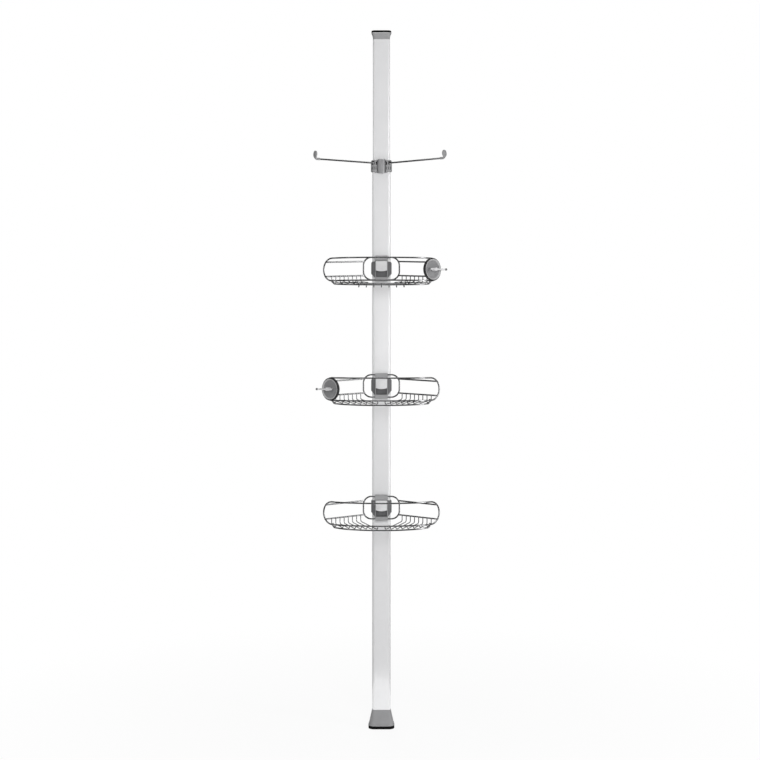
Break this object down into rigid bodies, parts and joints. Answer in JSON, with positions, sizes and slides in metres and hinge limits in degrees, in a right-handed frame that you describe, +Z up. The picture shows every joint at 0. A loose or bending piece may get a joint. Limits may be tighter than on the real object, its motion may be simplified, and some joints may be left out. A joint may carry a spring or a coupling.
{
  "type": "tension pole shelf unit",
  "caption": "Telescoping pole wedged between floor and ceiling, with sliding wire baskets, swinging bars and hook discs.",
  "frame": {"origin": "on the pole's axis at the floor, in the middle of the floor pad's lower face", "axes": "+Z up along the pole, -Y towards the front of the baskets, +X to the right seen from the front"},
  "size_m": [0.3918, 0.1745, 2.085],
  "materials": {
    "anodised_aluminium": "satin anodised, drawn along the tube",
    "polished_steel": "polished stainless wire",
    "fastener_steel": "plain steel",
    "grey_plastic": "fine moulded satin",
    "dark_plastic": "fine moulded satin",
    "disc_plastic": "smooth satin",
    "lock_lever_plastic": "smooth, half gloss",
    "silver_lever": "silver, half gloss",
    "pad_rubber": "matt moulded rubber",
    "brake_rubber": "matt rubber"
  },
  "bodies": {
    "base": {"floor_pad": "pad_rubber", "foot": "grey_plastic", "outer_tube": "anodised_aluminium", "spring_seat": "dark_plastic", "tension_spring": "fastener_steel", "collar": "grey_plastic", "collar_screws": "fastener_steel", "lock_lever_pin": "fastener_steel", "lock_shoe": "brake_rubber", "arm_pins": "fastener_steel"},
    "upper_pole": {"inner_tube": "anodised_aluminium", "inner_tube_plug": "dark_plastic", "top_cap": "grey_plastic", "ceiling_pad": "pad_rubber"},
    "lock_lever": {"lock_lever": "lock_lever_plastic"},
    "left_arm": {"left_arm": "polished_steel", "left_arm_tip": "grey_plastic"},
    "right_arm": {"right_arm": "polished_steel", "right_arm_tip": "grey_plastic"},
    "top_basket": {"top_clamp_body": "dark_plastic", "top_clamp_cover": "grey_plastic", "top_clamp_screws": "fastener_steel", "top_clamp_pin": "fastener_steel", "top_clamp_pad": "brake_rubber", "top_basket_band": "polished_steel", "top_basket_loop": "polished_steel", "top_basket_rails": "polished_steel", "top_basket_floor": "polished_steel", "top_basket_support": "polished_steel", "top_basket_tray": "polished_steel", "top_hook_disc": "disc_plastic", "top_hook_clip": "dark_plastic", "top_hook_bar": "silver_lever"},
    "top_lever": {"top_clamp_lever": "silver_lever"},
    "middle_basket": {"middle_clamp_body": "dark_plastic", "middle_clamp_cover": "grey_plastic", "middle_clamp_screws": "fastener_steel", "middle_clamp_pin": "fastener_steel", "middle_clamp_pad": "brake_rubber", "middle_basket_band": "polished_steel", "middle_basket_loop": "polished_steel", "middle_basket_rails": "polished_steel", "middle_basket_floor": "polished_steel", "middle_basket_support": "polished_steel", "middle_hook_disc": "disc_plastic", "middle_hook_clip": "dark_plastic", "middle_hook_bar": "silver_lever"},
    "middle_lever": {"middle_clamp_lever": "silver_lever"},
    "bottom_basket": {"bottom_clamp_body": "dark_plastic", "bottom_clamp_cover": "grey_plastic", "bottom_clamp_screws": "fastener_steel", "bottom_clamp_pin": "fastener_steel", "bottom_clamp_pad": "brake_rubber", "bottom_basket_band": "polished_steel", "bottom_basket_loop": "polished_steel", "bottom_basket_rails": "polished_steel", "bottom_basket_floor": "polished_steel", "bottom_basket_support": "polished_steel"},
    "bottom_lever": {"bottom_clamp_lever": "silver_lever"}
  },
  "joints": [
    {"name": "pole_slide", "type": "slide", "parent": "base", "child": "upper_pole", "axis": [0, 0, 1], "range_m": [-0.35, 0.648], "deforming": ["tension_spring"]},
    {"name": "lock_lever_hinge", "type": "hinge", "parent": "base", "child": "lock_lever", "pos_m": [0, -0.0265, 1.6935], "axis": [-1, 0, 0], "range_deg": [0, 75]},
    {"name": "left_arm_swing", "type": "hinge", "parent": "base", "child": "left_arm", "pos_m": [-0.025, -0.024, 1.688], "axis": [0, 0, 1], "range_deg": [-28, 55]},
    {"name": "right_arm_swing", "type": "hinge", "parent": "base", "child": "right_arm", "pos_m": [0.025, -0.024, 1.688], "axis": [0, 0, 1], "range_deg": [-50, 34]},
    {"name": "top_basket_slide", "type": "slide", "parent": "base", "child": "top_basket", "axis": [0, 0, 1], "range_m": [-0.1, 0.2]},
    {"name": "top_lever_hinge", "type": "hinge", "parent": "top_basket", "child": "top_lever", "pos_m": [0, -0.031, 1.39], "axis": [-1, 0, 0], "range_deg": [0, 75]},
    {"name": "middle_basket_slide", "type": "slide", "parent": "base", "child": "middle_basket", "axis": [0, 0, 1], "range_m": [-0.13, 0.13]},
    {"name": "middle_lever_hinge", "type": "hinge", "parent": "middle_basket", "child": "middle_lever", "pos_m": [0, -0.031, 1.04], "axis": [-1, 0, 0], "range_deg": [0, 75]},
    {"name": "bottom_basket_slide", "type": "slide", "parent": "base", "child": "bottom_basket", "axis": [0, 0, 1], "range_m": [-0.45, 0.12]},
    {"name": "bottom_lever_hinge", "type": "hinge", "parent": "bottom_basket", "child": "bottom_lever", "pos_m": [0, -0.031, 0.677], "axis": [-1, 0, 0], "range_deg": [0, 75]}
  ]
}
